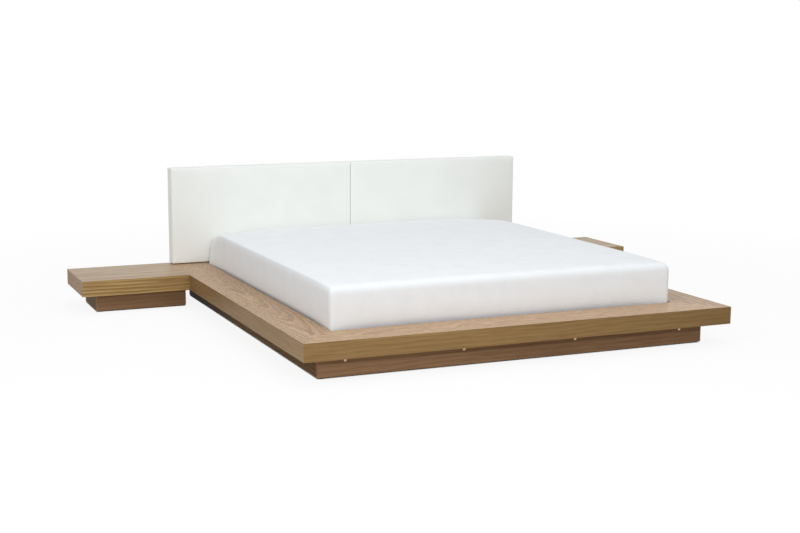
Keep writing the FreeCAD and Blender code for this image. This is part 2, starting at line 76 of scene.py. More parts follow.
class Look:
    """A material in the making, with short forms for its nodes."""

    def __init__(self, name, settings):
        self.material = bpy.data.materials.new(name)
        self.material.use_nodes = True
        self.tree = self.material.node_tree
        self.shader = self.tree.nodes["Principled BSDF"]
        for key, value in settings.items():
            self.shader.inputs[key].default_value = value

    def add(self, kind, inputs, **settings):
        return add_node(self.tree, kind, inputs, **settings)

    def place(self):
        return self.add("ShaderNodeTexCoord", {}).outputs["Object"]

    def parts(self, vector):
        return self.add("ShaderNodeSeparateXYZ", {0: vector}).outputs

    def vector(self, operation, first, second):
        return self.add("ShaderNodeVectorMath", {0: first, 1: second}, operation=operation).outputs[0]

    def math(self, operation, first, second):
        return self.add("ShaderNodeMath", {0: first, 1: second}, operation=operation).outputs[0]

    def noise(self, where, scales, detail=2.0, output="Fac"):
        where = self.vector("MULTIPLY", where, scales)
        inputs = {"Vector": where, "Scale": 1.0, "Detail": detail}
        return self.add("ShaderNodeTexNoise", inputs).outputs[output]

    def between(self, value, low, high, start=0.0, end=1.0):
        inputs = {"Value": value, "From Min": low, "From Max": high, "To Min": start, "To Max": end}
        return self.add("ShaderNodeMapRange", inputs).outputs[0]

    def mix(self, share, first, second):
        inputs = {MIX_SHARE: share, MIX_FIRST: first, MIX_SECOND: second}
        return self.add("ShaderNodeMix", inputs, data_type="RGBA").outputs[MIX_COLOUR]

    def link(self, value, key):
        self.tree.links.new(value, self.shader.inputs[key])

    def finish(self, colour, roughness, height, strength, depth):
        self.link(colour, "Base Color")
        self.link(roughness, "Roughness")
        inputs = {"Height": height, "Strength": strength, "Distance": depth}
        self.link(self.add("ShaderNodeBump", inputs).outputs["Normal"], "Normal")
        return self.material


# Grain of the veneers: noise scales along and across it, and where each kind of mark begins and is full
DRIFT_SCALES, TONE_SCALES = (1.6, 5.0, 5.0), (1.1, 6.0, 6.0)
LINE_SCALES, PORE_SCALES = (5.0, 420.0, 420.0), (90.0, 1500.0, 1500.0)
FLECKS_ACROSS = 260.0
RING_STEP, TONE_STEP, LINE_STEP, PORE_STEP = (0.3, 1.0), (0.3, 0.7), (0.4, 0.65), (0.52, 0.7)
DARK_FLECK_STEP, PALE_FLECK_STEP = (0.52, 0.68), (0.46, 0.32)
LINE_SHARE, PORE_SHARE, RING_RELIEF_SHARE = 0.4, 0.2, 0.3
COAT_SHARE, COAT_ROUGHNESS = 0.1, 0.35
VENEER_ROUGHNESS = (0.38, 0.52)
VENEER_RELIEF, VENEER_DEPTH = 0.12, 0.2 * MM
# Span along a board over which its painted shade grows, where the cut gives none of its own
BOARD_SPAN = (-1.1, 1.1)


def veneer(name, axis, pith, cut, tones, figure, gloss, seed):
    """Oak veneer cut from rings round a pith line, with flecks, lines and pores along the grain, and
    painted shade that darkens it along the board.
    """
    coat = {"Coat Weight": COAT_SHARE * gloss, "Coat Roughness": COAT_ROUGHNESS}
    look = Look(name, {"Specular IOR Level": gloss, **coat})
    parts = look.parts(look.place())
    along, across = (parts[0], parts[1]) if axis == "x" else (parts[1], parts[0])
    rise = look.math("SUBTRACT", parts[2], look.math("MULTIPLY", along, cut["tilt"]))
    inputs = {
        0: look.math("ADD", along, seed),
        1: look.math("SUBTRACT", across, pith[0]),
        2: look.math("SUBTRACT", rise, pith[1]),
    }
    grain = look.add("ShaderNodeCombineXYZ", inputs).outputs[0]

    drift = look.noise(grain, DRIFT_SCALES, 3.0, "Color")
    drift = look.vector("SUBTRACT", drift, (0.5, 0.5, 0.5))
    drift = look.vector("MULTIPLY", drift, (0.0, cut["wander"], cut["wander"]))
    inputs = {
        "Vector": look.vector("ADD", grain, drift), "Scale": cut["scale"],
        "Distortion": cut["curl"], "Detail": 3.0, "Detail Scale": 2.0,
    }
    settings = {"wave_type": "RINGS", "rings_direction": "X", "wave_profile": "SAW"}
    rings = look.add("ShaderNodeTexWave", inputs, **settings).outputs["Fac"]
    rings = look.between(rings, *RING_STEP)

    flecks = look.noise(grain, (cut["fleck"], FLECKS_ACROSS, FLECKS_ACROSS), 3.0)
    dark_flecks = look.between(flecks, *DARK_FLECK_STEP)
    pale_flecks = look.between(flecks, *PALE_FLECK_STEP)
    lines = look.between(look.noise(grain, LINE_SCALES, 2.0), *LINE_STEP)
    pores = look.between(look.noise(grain, PORE_SCALES, 1.0), *PORE_STEP)
    broad = look.between(look.noise(grain, TONE_SCALES), *TONE_STEP)
    # Painted shade: the veneer darkens along the board towards its far end, standing in for light that
    # falls off there
    painted_shade = look.between(along, *cut.get("painted_shade_span", BOARD_SPAN), 0.0, cut["painted_shade"])

    pale, warm, dark = tones
    colour = look.mix(broad, pale, warm)
    for share, tone in (
        (painted_shade, dark),
        (look.math("MULTIPLY", rings, figure), dark),
        (look.math("MULTIPLY", lines, LINE_SHARE * figure), dark),
        (look.math("MULTIPLY", dark_flecks, figure), dark),
        (look.math("MULTIPLY", pale_flecks, figure), pale),
        (look.math("MULTIPLY", pores, PORE_SHARE), dark),
    ):
        colour = look.mix(share, colour, tone)
    roughness = look.between(dark_flecks, 0.0, 1.0, *VENEER_ROUGHNESS)
    relief = look.math("ADD", look.math("MULTIPLY", rings, RING_RELIEF_SHARE), pores)
    relief = look.math("SUBTRACT", 1.0, relief)
    return look.finish(colour, roughness, relief, VENEER_RELIEF, VENEER_DEPTH)


# Noise scales, counts of cells in a metre and depths of the relief of the other stuffs
TIMBER_ALONG, TIMBER_ACROSS, FIBRE_FINENESS, FIBRE_DEPTH = 3.0, 90.0, 3.5, 0.4 * MM
CHIP_SCALE, CHIP_DEPTH = 220.0, 0.3 * MM
PEBBLE_SCALE, PEBBLE_DEPTH, PATCH_SCALES = 620.0, 0.25 * MM, (5.0, 5.0, 5.0)
UNEVEN_SCALES, WEAVE_DEPTH = (14.0, 14.0, 14.0), 0.2 * MM
FINE_SCALE, RUBBER_SCALE, METAL_SCALE, FINE_DEPTH = 300.0, 500.0, 900.0, 0.1 * MM


def timber(name, axis, pale, dark):
    """Plain sawn softwood with its grain along one axis."""
    look = Look(name, {})
    scales = [TIMBER_ALONG if part == axis else TIMBER_ACROSS for part in "xyz"]
    fine_scales = [FIBRE_FINENESS * scale for scale in scales]
    place = look.place()
    lines = look.between(look.noise(place, scales, 3.0), 0.35, 0.7)
    fibres = look.noise(place, fine_scales, 2.0)
    colour = look.mix(look.math("MULTIPLY", lines, 0.7), pale, dark)
    roughness = look.between(fibres, 0.2, 0.8, 0.55, 0.75)
    return look.finish(colour, roughness, fibres, 0.25, FIBRE_DEPTH)


def chipboard(name, pale, dark):
    """Raw board of pressed chips."""
    look = Look(name, {})
    inputs = {"Vector": look.place(), "Scale": CHIP_SCALE}
    chip = look.parts(look.add("ShaderNodeTexVoronoi", inputs).outputs["Color"])[0]
    colour = look.mix(look.math("MULTIPLY", chip, 0.8), pale, dark)
    roughness = look.between(chip, 0.0, 1.0, 0.6, 0.8)
    return look.finish(colour, roughness, chip, 0.2, CHIP_DEPTH)


def leather(name, tone, shade):
    """Smooth coated leather cloth with a fine pebble grain."""
    look = Look(name, {"Coat Weight": 0.08, "Coat Roughness": 0.4})
    place = look.place()
    inputs = {"Vector": place, "Scale": PEBBLE_SCALE}
    pebbles = look.add("ShaderNodeTexVoronoi", inputs).outputs["Distance"]
    patches = look.between(look.noise(place, PATCH_SCALES, 3.0), 0.35, 0.65)
    colour = look.mix(look.math("MULTIPLY", patches, 0.5), tone, shade)
    roughness = look.between(patches, 0.0, 1.0, 0.42, 0.52)
    return look.finish(colour, roughness, pebbles, 0.18, PEBBLE_DEPTH)


def woven(name, tone, shade, pitch, settings, strength=0.25):
    """Plain weave: threads a pitch apart along each axis, with a little unevenness."""
    look = Look(name, settings)
    place = look.place()
    threads = []
    for part in look.parts(place):
        wave = look.math("SINE", look.math("MULTIPLY", part, math.pi / pitch), 0.0)
        threads.append(look.math("MULTIPLY", wave, wave))
    cloth = look.math("ADD", look.math("ADD", threads[0], threads[1]), threads[2])
    uneven = look.noise(place, UNEVEN_SCALES, 4.0)
    colour = look.mix(look.between(uneven, 0.3, 0.7), tone, shade)
    roughness = look.between(uneven, 0.0, 1.0, 0.75, 0.9)
    return look.finish(colour, roughness, cloth, strength, WEAVE_DEPTH)


def plain(name, tone, shade, settings, scale=FINE_SCALE, rough=(0.4, 0.6)):
    """Moulded or plated stuff, with a fine uneven surface."""
    look = Look(name, settings)
    fine = look.noise(look.place(), (scale, scale, scale), 3.0)
    colour = look.mix(look.between(fine, 0.3, 0.7), tone, shade)
    roughness = look.between(fine, 0.2, 0.8, *rough)
    return look.finish(colour, roughness, fine, 0.08, FINE_DEPTH)


# Tones of the veneers, pale to dark
TOP_TONES = (linear(200, 168, 135), linear(184, 152, 118), linear(128, 96, 66))
# Painted light: a lighter copy of the ledge-top tones for the ledges at the foot and head, standing in for
# the foot ledge catching more light
FOOT_PAINTED_LIGHT_TONES = (linear(216, 182, 146), linear(200, 166, 129), linear(132, 99, 68))
FRONT_TONES = (linear(171, 139, 92), linear(155, 123, 79), linear(104, 76, 45))
GOLD_TONES = (linear(196, 162, 108), linear(182, 146, 94), linear(118, 88, 50))
STAND_TONES = (linear(198, 170, 138), linear(182, 153, 118), linear(112, 90, 60))
SIDE_TONES = (linear(169, 137, 98), linear(153, 121, 82), linear(108, 79, 47))
PLINTH_TONES = (linear(182, 143, 108), linear(166, 129, 96), linear(104, 76, 54))
# Painted shade: a darker copy of the plinth tones for the plinth boards at the sides and the nightstand
# plinth ends, which stand in shade under the overhangs
PAINTED_SHADE_PLINTH_TONES = (linear(138, 104, 66), linear(121, 91, 57), linear(50, 33, 21))

# Where the rings of a veneer have their middle, beside and below the board, how they wander, and how much
# painted shade darkens the board along its length
FLAMES = {
    "aside": 0.0, "depth": 0.06, "tilt": 0.05, "scale": 24.0,
    "wander": 0.06, "curl": 0.8, "painted_shade": 0.0, "fleck": 26.0,
}
STRIPES = {
    "aside": 0.28, "depth": 0.9, "tilt": 0.004, "scale": 18.0,
    "wander": 0.02, "curl": 0.25, "painted_shade": 0.0, "fleck": 4.0,
}
STRAIGHT = {
    "aside": 0.9, "depth": 0.5, "tilt": 0.004, "scale": 30.0,
    "wander": 0.03, "curl": 0.4, "painted_shade": 0.0, "fleck": 8.0,
}
# Cuts with painted shade along the board: slight on the ledge tops at the ends, stronger on the aprons and
# end plinths, deepest on the side plinths towards the head, where the nightstands shade them
FOOT_FLAMES = {**FLAMES, "painted_shade": 0.15}
STRAIGHT_PAINTED_SHADE = {**STRAIGHT, "painted_shade": 0.5}
STRAIGHT_DEEP_PAINTED_SHADE = {**STRAIGHT, "painted_shade": 0.9, "painted_shade_span": (0.0, 0.7)}
TOP_GLOSS, EDGE_GLOSS, PLINTH_GLOSS = 0.3, 0.07, 0.01
SEED_STEP = 3.7

# Boards at the ends and sides: piece, axis of the grain, tones, share of the figure that shows, and cut
END_BOARDS = (
    ("ledge_top", "x", FOOT_PAINTED_LIGHT_TONES, 0.6, FOOT_FLAMES),
    ("apron", "x", FRONT_TONES, 0.28, STRAIGHT_PAINTED_SHADE),
    ("plinth_board", "x", PLINTH_TONES, 0.3, STRAIGHT_PAINTED_SHADE),
)
SIDE_BOARDS = (
    ("ledge_top", "y", TOP_TONES, 0.7, FLAMES),
    ("apron", "y", SIDE_TONES, 0.2, STRAIGHT_PAINTED_SHADE),
    ("plinth_board", "y", PAINTED_SHADE_PLINTH_TONES, 0.3, STRAIGHT_DEEP_PAINTED_SHADE),
    ("nightstand_top", "x", STAND_TONES, 0.62, STRIPES),
    ("nightstand_front", "x", GOLD_TONES, 0.7, STRIPES),
    ("nightstand_back", "x", GOLD_TONES, 0.4, STRIPES),
    ("nightstand_end", "y", SIDE_TONES, 0.4, STRAIGHT),
    ("nightstand_plinth_front", "x", PLINTH_TONES, 0.2, STRAIGHT),
    ("nightstand_plinth_back", "x", PLINTH_TONES, 0.2, STRAIGHT),
    ("nightstand_plinth_end", "y", PAINTED_SHADE_PLINTH_TONES, 0.2, STRAIGHT),
)


def dress(name, material):
    data = nodes[name].data
    data.materials.clear()
    data.materials.append(material)


def dress_board(name, axis, tones, figure, cut, seed):
    low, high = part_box(name)
    middle = (low + high) / 2
    gloss = TOP_GLOSS if name.endswith("_top") else PLINTH_GLOSS if "plinth" in name else EDGE_GLOSS
    across = middle.y if axis == "x" else middle.x
    pith = (across - cut["aside"], middle.z - cut["depth"])
    dress(name, veneer(f"veneer_{name}", axis, pith, cut, tones, figure, gloss, seed))


def dress_boards():
    """Veneers with the grain along each board."""
    seed = 0.0
    for places, boards in ((("foot", "head"), END_BOARDS), (("left", "right"), SIDE_BOARDS)):
        for place in places:
            for piece, axis, tones, figure, cut in boards:
                seed += SEED_STEP
                dress_board(f"{place}_{piece}", axis, tones, figure, cut, seed)


def dress_rest():
    """Looks of the hidden timber, the boards inside, the fasteners and the feet."""
    pine_pale, pine_dark = linear(226, 196, 150), linear(190, 148, 98)
    along_x = timber("pine_along_x", "x", pine_pale, pine_dark)
    along_y = timber("pine_along_y", "y", pine_pale, pine_dark)
    along_z = timber("pine_along_z", "z", pine_pale, pine_dark)
    board = chipboard("chipboard", linear(196, 168, 128), linear(140, 106, 70))
    black = plain("black_plastic", linear(34, 33, 32), linear(22, 21, 20), {})
    rubber = plain("black_rubber", linear(30, 30, 31), linear(18, 18, 18), {}, RUBBER_SCALE, (0.7, 0.9))
    steel = {"Metallic": 1.0}
    zinc_tones = linear(226, 222, 210), linear(196, 190, 176)
    zinc = plain("zinc", *zinc_tones, steel, METAL_SCALE, (0.25, 0.4))
    brass_tones = linear(222, 200, 160), linear(190, 164, 120)
    brass = plain("pale_brass", *brass_tones, steel, METAL_SCALE, (0.3, 0.45))
    stained = timber("stained_rail", "x", linear(70, 52, 38), linear(48, 35, 25))
    for name in nodes:
        if name == "slats" or name.endswith("headboard_frame"):
            dress(name, along_x)
        elif name.startswith("bearer_") and name != "bearer_legs":
            dress(name, along_y)
        elif name in ("bearer_legs", "plinth_corner_blocks"):
            dress(name, along_z)
        elif name.endswith("recess_rail"):
            dress(name, stained)
        elif name.endswith(("underside", "inner_board")):
            dress(name, board)
        elif name == "glides":
            dress(name, black)
        elif name == "headboard_spacers":
            dress(name, rubber)
        elif name == "plinth_bolts":
            dress(name, brass)
        elif name in ("bolt_nuts", "headboard_bolts", "joining_plates"):
            dress(name, zinc)
    return zinc


def spread(start, end, pitch):
    """Even places from start to end, about a pitch apart."""
    return np.linspace(start, end, max(1, round((end - start) / pitch)) + 1)


STEP_GROWTH = 1.3


def graded(start, end, fine, pitch):
    """Places from start to end, close together near both ends."""
    steps = [fine]
    while steps[-1] * STEP_GROWTH < pitch and 2 * sum(steps) * STEP_GROWTH < end - start:
        steps.append(steps[-1] * STEP_GROWTH)
    edge = np.concatenate([[0.0], np.cumsum(steps)])
    middle = spread(start + edge[-1], end - edge[-1], pitch)
    return np.concatenate([start + edge[:-1], middle, end - edge[:-1][::-1]])


def shell_of_box(columns, rows, levels):
    """Points and outward faces of a box's surface, on a lattice of places along each axis."""
    points, faces, known = [], [], {}
    last = [len(places) - 1 for places in (columns, rows, levels)]

    def point(i, j, k):
        if (i, j, k) not in known:
            known[i, j, k] = len(points)
            points.append((columns[i], rows[j], levels[k]))
        return known[i, j, k]

    def face(corners, outward):
        quad = [point(*corner) for corner in corners]
        faces.append(quad if outward else quad[::-1])

    for k, outward in ((last[2], True), (0, False)):
        for i in range(last[0]):
            for j in range(last[1]):
                face([(i, j, k), (i + 1, j, k), (i + 1, j + 1, k), (i, j + 1, k)], outward)
    for j, outward in ((0, True), (last[1], False)):
        for i in range(last[0]):
            for k in range(last[2]):
                face([(i, j, k), (i + 1, j, k), (i + 1, j, k + 1), (i, j, k + 1)], outward)
    for i, outward in ((last[0], True), (0, False)):
        for j in range(last[1]):
            for k in range(last[2]):
                face([(i, j, k), (i, j + 1, k), (i, j + 1, k + 1), (i, j, k + 1)], outward)
    return np.array(points), faces


def rounded(points, low, high, corner, top_edge, base_edge):
    """Points of a box moved onto a form with round corners in plan and round edges above and below."""
    low, high = np.array(low), np.array(high)
    middle, half = (low + high) / 2, (high - low) / 2
    plan = points[:, :2] - middle[:2]
    inset = np.min(half[:2] - np.abs(plan), axis=1)
    height = points[:, 2].copy()
    new_inset = inset.copy()
    for edge, drop, level, sign in (
        (top_edge, high[2] - points[:, 2], high[2], -1),
        (base_edge, points[:, 2] - low[2], low[2], 1),
    ):
        out = np.clip(edge - inset, 0, edge)
        up = np.clip(edge - drop, 0, edge)
        bend = (out > 0) & (up > 0)
        shrink = np.maximum(out, up) / np.maximum(np.hypot(out, up), TINY)
        new_inset = np.where(bend, edge - out * shrink, new_inset)
        height = np.where(bend, level + sign * (edge - up * shrink), height)
    zone = 2 * max(corner, top_edge, base_edge)
    core = np.clip(plan, -(half[:2] - zone), half[:2] - zone)
    reach = np.maximum(np.abs(plan - core).max(axis=1), TINY)
    shrink = np.where(inset < zone, (zone - new_inset) / reach, 1.0)
    plan = core + (plan - core) * shrink[:, None]
    radius = corner * np.clip(2 - new_inset / (zone / 2), 0, 1)
    limit = half[:2] - (new_inset + radius)[:, None]
    core = np.clip(plan, -limit, limit)
    arm = plan - core
    turn = np.abs(arm).max(axis=1) / np.maximum(np.hypot(arm[:, 0], arm[:, 1]), TINY)
    return np.column_stack([core + arm * turn[:, None] + middle[:2], height])


def new_piece(name, points, faces, material, body):
    mesh = bpy.data.meshes.new(name)
    mesh.from_pydata([tuple(point) for point in points], [], faces)
    mesh.validate()
    mesh.update()
    mesh.polygons.foreach_set("use_smooth", [True] * len(mesh.polygons))
    mesh.materials.append(material)
    piece = bpy.data.objects.new(name, mesh)
    scene.collection.objects.link(piece)
    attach(piece, body)
    return piece


def places_of(piece):
    flat = np.zeros(len(piece.data.vertices) * 3)
    piece.data.vertices.foreach_get("co", flat)
    return flat.reshape(-1, 3)


def put_places(piece, points):
    piece.data.vertices.foreach_set("co", np.asarray(points).ravel())
    piece.data.update()


def normals_of(piece):
    flat = np.zeros(len(piece.data.vertices) * 3)
    piece.data.vertices.foreach_get("normal", flat)
    return flat.reshape(-1, 3)


SWELL_FRAMES = 20
SWELL_SETTINGS = {
    "quality": 6, "mass": 0.3, "tension_stiffness": 20.0, "compression_stiffness": 20.0,
    "shear_stiffness": 10.0, "bending_stiffness": 2.0, "use_pressure": True,
}


def swell(piece, held, pressure, limit):
    """Swell a closed form as cloth under pressure, with some points held and none moved past the limit."""
    group = piece.vertex_groups.new(name="held")
    group.add([int(index) for index in held], 1.0, "REPLACE")
    cloth = piece.modifiers.new("cloth", "CLOTH")
    for key, value in SWELL_SETTINGS.items():
        setattr(cloth.settings, key, value)
    cloth.settings.uniform_pressure_force = pressure
    cloth.settings.vertex_group_mass = group.name
    cloth.settings.effector_weights.gravity = 0.0
    cloth.collision_settings.use_collision = False
    cloth.point_cache.frame_start = 1
    cloth.point_cache.frame_end = SWELL_FRAMES
    rest = places_of(piece)
    for number in range(1, SWELL_FRAMES + 1):
        scene.frame_set(number)
    swollen = places_of(piece.evaluated_get(bpy.context.evaluated_depsgraph_get()))
    piece.modifiers.remove(cloth)
    scene.frame_set(1)
    move = swollen - rest
    length = np.maximum(np.linalg.norm(move, axis=1), TINY)
    put_places(piece, rest + move * np.minimum(1.0, limit / length)[:, None])


def inset_of(points, low, high, axes):
    """How far each point lies inside a rectangle on two axes."""
    gaps = [np.minimum(points[:, axis] - low[axis], high[axis] - points[:, axis]) for axis in axes]
    return np.min(gaps, axis=0)


def near(distance, reach):
    """1 at no distance, falling evenly to 0 at the reach."""
    return np.clip(1 - distance / reach, 0, 1)


def ripple(points, scale, seed):
    """Smooth unevenness from -1 to 1 at each point."""
    scale = np.array(scale)
    return np.array([noise.noise(Vector(point * scale) + Vector((seed, seed, seed))) for point in points])


def tube(path, radius, sides):
    """Points and faces of a round cord along a path, closed at both ends."""
    path = [Vector(place) for place in path]
    points, faces = [], []
    for index, place in enumerate(path):
        ahead = path[min(index + 1, len(path) - 1)] - path[max(index - 1, 0)]
        turn = ahead.to_track_quat("Z", "Y")
        for step in range(sides):
            angle = 2 * math.pi * step / sides
            points.append(place + turn @ Vector((radius * math.cos(angle), radius * math.sin(angle), 0)))
    for ring in range(len(path) - 1):
        for step in range(sides):
            a, b = ring * sides + step, ring * sides + (step + 1) % sides
            faces.append([a, b, b + sides, a + sides])
    faces.append(list(range(sides))[::-1])
    faces.append([len(points) - sides + step for step in range(sides)])
    return points, faces


def many_tubes(paths, radius, sides):
    points, faces = [], []
    for path in paths:
        more_points, more_faces = tube(path, radius, sides)
        faces += [[index + len(points) for index in face] for face in more_faces]
        points += more_points
    return points, faces


def side_box(name, sign):
    """Box of those solids of a node that lie on one side of the middle."""
    node = nodes[name]
    points = np.array([node.matrix_world @ vertex.co for vertex in node.data.vertices])
    points = points[points[:, 0] * sign > 0]
    return points.min(axis=0), points.max(axis=0)


# Mattress, with its drawn-in sides, its low crown and its dip and drooping corners at the head
MATTRESS_FINE, MATTRESS_PITCH, MATTRESS_LEVEL = 6 * MM, 36 * MM, 12 * MM
MATTRESS_SWELL, MATTRESS_PRESSURE = 5 * MM, 3.0
MATTRESS_CORNER, MATTRESS_TOP_EDGE, MATTRESS_BASE_EDGE = 20 * MM, 34 * MM, 24 * MM
MATTRESS_CROWN, CROWN_POWER = 8 * MM, 4
SIDE_ROOM = 5 * MM
SIDE_CRISP_SHARE, CRISP_START_SHARE, CRISP_FADE = 0.55, 0.5, 0.16
FOOT_DRAW_IN, SIDE_DRAW_IN = 28 * MM, 14 * MM
DRAW_IN_REACH, DRAW_IN_START_SHARE, DRAW_IN_POWER = 0.3, 0.62, 8
FOOT_TUCK, SIDE_TUCK = 5 * MM, 12 * MM
TUCK_START_SHARE, TUCK_END_SHARE = 0.31, 0.16
HEAD_DIP, HEAD_DIP_REACH = 22 * MM, 0.3
HEAD_DIP_MIDDLE_SHARE, HEAD_DIP_SPREAD_SHARE = -0.4, 1.4
HEAD_CORNER_DROP, HEAD_CORNER_LEAN, HEAD_CORNER_REACH = 26 * MM, 30 * MM, 0.4
TICKING_PITCH = 1.6 * MM

# Fitted sheet, and the scales, seed and height of each kind of unevenness in it
SHEET_GAP, SHEET_THICKNESS, SHEET_TUCK = 1.6 * MM, 0.8 * MM, 0.11
SEAM_RADIUS, SEAM_SIDES = 1.2 * MM, 8
COTTON_PITCH, COTTON_RELIEF = 0.7 * MM, 0.12
SOFT_SCALES, SOFT_SEED, SOFT_LIFT = (2.4, 2.4, 5.0), 1.7, 1.2 * MM
HEM_SCALES, HEM_SEED, HEM_LIFT, HEM_POWER = (17.0, 17.0, 2.0), 5.3, 2.2 * MM, 3
CREASE_SCALES, CREASE_SEED, CREASE_LIFT = (1.3, 1.3, 17.0), 9.1, 1.1 * MM
UNDER_LIFT, BASE_ROOM = 0.5 * MM, 0.2 * MM


def up_share(box_points, low, high):
    return np.clip((box_points[:, 2] - low[2]) / (high[2] - low[2]), 0, 1)


def mattress_form(low, high):
    """Places on a box, the same places on the mattress, and its faces."""
    pitches = (MATTRESS_PITCH, MATTRESS_PITCH, MATTRESS_LEVEL)
    lines = [graded(low[axis], high[axis], MATTRESS_FINE, pitches[axis]) for axis in range(3)]
    box_points, faces = shell_of_box(*lines)
    x, y = box_points[:, 0], box_points[:, 1]
    points = rounded(box_points, low, high, MATTRESS_CORNER, MATTRESS_TOP_EDGE, MATTRESS_BASE_EDGE)
    up = up_share(box_points, low, high)
    across = x / high[0]
    along = (y - (low[1] + high[1]) / 2) / ((high[1] - low[1]) / 2)

    # Crisper top edges along the sides, and a low crown
    crisp = SIDE_CRISP_SHARE * np.clip((high[1] - y) / CRISP_FADE, 0, 1)
    crisp *= np.clip((y - low[1]) / CRISP_FADE, 0, 1) * (up > CRISP_START_SHARE)
    points += crisp[:, None] * (box_points - points)
    points[:, 2] += MATTRESS_CROWN * up * (1 - across ** CROWN_POWER) * (1 - along ** CROWN_POWER)

    # Drawn in towards the base, and more so inside the recess
    drawn = near(up, DRAW_IN_START_SHARE) ** 2
    tucked = np.clip((TUCK_START_SHARE - up) / (TUCK_START_SHARE - TUCK_END_SHARE), 0, 1)
    tucked = tucked ** 2 * (3 - 2 * tucked)
    foot_in = (FOOT_DRAW_IN * drawn + FOOT_TUCK * tucked) * near(y - low[1], DRAW_IN_REACH)
    side_in = (SIDE_DRAW_IN * drawn + SIDE_TUCK * tucked) * near(high[0] - np.abs(x), DRAW_IN_REACH)
    points[:, 1] += foot_in * (1 - across ** DRAW_IN_POWER)
    points[:, 0] -= np.sign(across) * side_in * (1 - along ** DRAW_IN_POWER)

    # A shallow dip along the head end, and drooping corners there
    dip = np.clip(1 - ((across - HEAD_DIP_MIDDLE_SHARE) / HEAD_DIP_SPREAD_SHARE) ** 2, 0, 1)
    points[:, 2] -= HEAD_DIP * dip * up * near(high[1] - y, HEAD_DIP_REACH) ** 2
    for sign in (-1, 1):
        droop = near(np.hypot(x - sign * high[0], y - high[1]), HEAD_CORNER_REACH) ** 2
        points[:, 2] -= HEAD_CORNER_DROP * up * droop
        points[:, 0] -= sign * HEAD_CORNER_LEAN * up ** 2 * droop
    return box_points, points, faces


def mattress_and_sheet():
    low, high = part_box("fitted_sheet")
    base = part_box("mattress")[0].z
    skin = SHEET_GAP + SHEET_THICKNESS
    head_y = high.y - skin - MATTRESS_SWELL
    top_z = high.z - skin - MATTRESS_CROWN
    low = np.array((low.x + skin - SIDE_ROOM, low.y + skin - SIDE_ROOM, base + skin))
    high = np.array((high.x - skin + SIDE_ROOM, head_y, top_z))
    box_points, points, faces = mattress_form(low, high)

    ticking = woven("ticking", linear(226, 224, 216), linear(212, 209, 199), TICKING_PITCH, {})
    mattress = new_piece("mattress_body", points, faces, ticking, BEDDING)
    on_base = np.nonzero(box_points[:, 2] < low[2] + MM)[0]
    swell(mattress, on_base, MATTRESS_PRESSURE, MATTRESS_SWELL)
    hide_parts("mattress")
    fitted_sheet(mattress, box_points, faces, low, high, base)


def fitted_sheet(mattress, box_points, faces, low, high, base):
    """A sheet over the mattress, tucked in under it, with a seam down each corner."""
    settings = {"Sheen Weight": 0.05, "Specular IOR Level": 0.15}
    white, shade = linear(242, 244, 246), linear(238, 240, 242)
    cotton = woven("cotton", white, shade, COTTON_PITCH, settings, COTTON_RELIEF)
    body = places_of(mattress)
    outward = normals_of(mattress)
    under = box_points[:, 2] < low[2] + MM
    kept = ~under | (inset_of(box_points, low, high, (0, 1)) < SHEET_TUCK)
    side = ~under & (box_points[:, 2] < high[2] - MM)
    soft = 0.5 + 0.5 * ripple(body, SOFT_SCALES, SOFT_SEED)
    hem = 0.5 + 0.5 * ripple(body, HEM_SCALES, HEM_SEED)
    creases = 0.5 + 0.5 * ripple(body, CREASE_SCALES, CREASE_SEED)
    down = 1 - up_share(box_points, low, high)
    side_lift = CREASE_LIFT * creases + HEM_LIFT * hem * down ** HEM_POWER
    lift = SOFT_LIFT * soft + np.where(side, side_lift, 0)
    lift = np.where(under, UNDER_LIFT * hem, lift)
    cloth = body + outward * (SHEET_GAP + lift)[:, None]
    cloth[:, 2] = np.where(under, np.maximum(cloth[:, 2], base + BASE_ROOM), cloth[:, 2])

    number = np.cumsum(kept) - 1
    sheet_faces = [[int(number[i]) for i in face] for face in faces if all(kept[i] for i in face)]
    sheet = new_piece("fitted_sheet_cloth", cloth[kept], sheet_faces, cotton, BEDDING)
    sheet.modifiers.new("smooth", "SUBSURF").render_levels = 1
    thick = sheet.modifiers.new("thick", "SOLIDIFY")
    thick.thickness = SHEET_THICKNESS
    thick.offset = 1.0
    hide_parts("fitted_sheet")

    paths = []
    for x_end in (low[0], high[0]):
        for y_end in (low[1], high[1]):
            corner = np.hypot(box_points[:, 0] - x_end, box_points[:, 1] - y_end) < MM
            path = cloth[corner] + outward[corner] * SHEET_THICKNESS
            paths.append(path[np.argsort(path[:, 2])])
    seam_points, seam_faces = many_tubes(paths, SEAM_RADIUS, SEAM_SIDES)
    seams = new_piece("sheet_corner_seams", seam_points, seam_faces, cotton, BEDDING)


# Headboard pads, with their back covers and staples
PAD_FINE, PAD_PITCH = 2 * MM, 14 * MM
PAD_SWELL, PAD_PRESSURE, PAD_CROWN = 1.2 * MM, 4.0, 4 * MM
PAD_CORNER, PAD_EDGE, PAD_BACK_EDGE = 5 * MM, 5 * MM, 2 * MM
SEAM_FILL = 1 * MM
POCKET_GAP, POCKET_PAST = 0.3 * MM, 14 * MM
COVER_PITCH, COVER_EDGE, COVER_SLACK = 30 * MM, 0.1, 0.8 * MM
COVER_SCALES, COVER_SEED, FELT_PITCH = (4.0, 0.0, 4.0), 2.0, 0.9 * MM
STAPLE_PITCH, STAPLE_WIDTH, STAPLE_INSET = 60 * MM, 10 * MM, 14 * MM
STAPLE_RADIUS, STAPLE_SIDES = 0.5 * MM, 6


def settle(piece):
    """Keep the mesh as the piece's modifiers leave it."""
    shown = piece.evaluated_get(bpy.context.evaluated_depsgraph_get())
    mesh = bpy.data.meshes.new_from_object(shown)
    piece.modifiers.clear()
    piece.data = mesh


